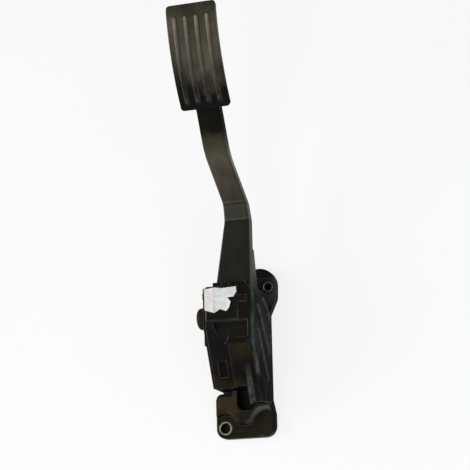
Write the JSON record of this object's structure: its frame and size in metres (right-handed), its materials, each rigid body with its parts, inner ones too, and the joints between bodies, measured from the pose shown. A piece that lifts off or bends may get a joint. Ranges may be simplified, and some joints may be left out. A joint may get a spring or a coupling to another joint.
{
  "type": "accelerator pedal",
  "caption": "Drive-by-wire accelerator pedal: moulded housing with fixing sleeves, sprung lever with a curved ribbed pad, and a position sensor with its connector.",
  "frame": {"origin": "axis of the lower fixing sleeve, in the mounting plane on the back of the housing", "axes": "+X to the driver's right, +Y from the lower fixing towards the pad, +Z out of the bulkhead towards the driver"},
  "size_m": [0.0584, 0.3343, 0.1225],
  "materials": {
    "black_plastic": "fine-grained satin moulding",
    "lever_plastic": "satin moulding with a soft sheen",
    "steel": "plain zinc-coated steel",
    "sleeve_steel": "cut tube, dull zinc coating",
    "spring_steel": "drawn spring wire",
    "stop_rubber": "soft moulded rubber",
    "bush_plastic": "natural bearing plastic",
    "lining": "dense friction lining",
    "board": "coated circuit board",
    "chip": "moulded chip package",
    "contact_brass": "plain brass strip",
    "paper": "creased matt paper"
  },
  "bodies": {
    "housing": {"housing": "black_plastic", "rear_cover": "black_plastic", "sensor_cover": "black_plastic", "rear_screws": "steel", "cover_screws": "steel", "friction_pin": "steel", "lower_sleeve": "sleeve_steel", "upper_sleeve": "sleeve_steel", "outer_spring": "spring_steel", "inner_spring": "spring_steel", "idle_stop": "stop_rubber", "full_stop": "stop_rubber", "cover_seal": "stop_rubber", "left_bush": "bush_plastic", "right_bush": "bush_plastic", "thrust_washers": "bush_plastic", "friction_lever": "bush_plastic", "friction_lining": "lining", "sensor_board": "board", "board_chips": "chip", "connector_pins": "contact_brass", "paper_label": "paper"},
    "lever": {"pedal_lever": "lever_plastic", "pivot_shaft": "steel", "rotor": "bush_plastic", "rotor_loop": "contact_brass"}
  },
  "joints": [
    {"name": "pedal_pivot", "type": "hinge", "parent": "housing", "child": "lever", "pos_m": [0.024, 0.087, 0.033], "axis": [-1, 0, 0], "range_deg": [0, 13], "stiffness_Nm_per_rad": 17.6, "springref_deg": -13.01, "deforming": ["outer_spring", "inner_spring"]}
  ]
}
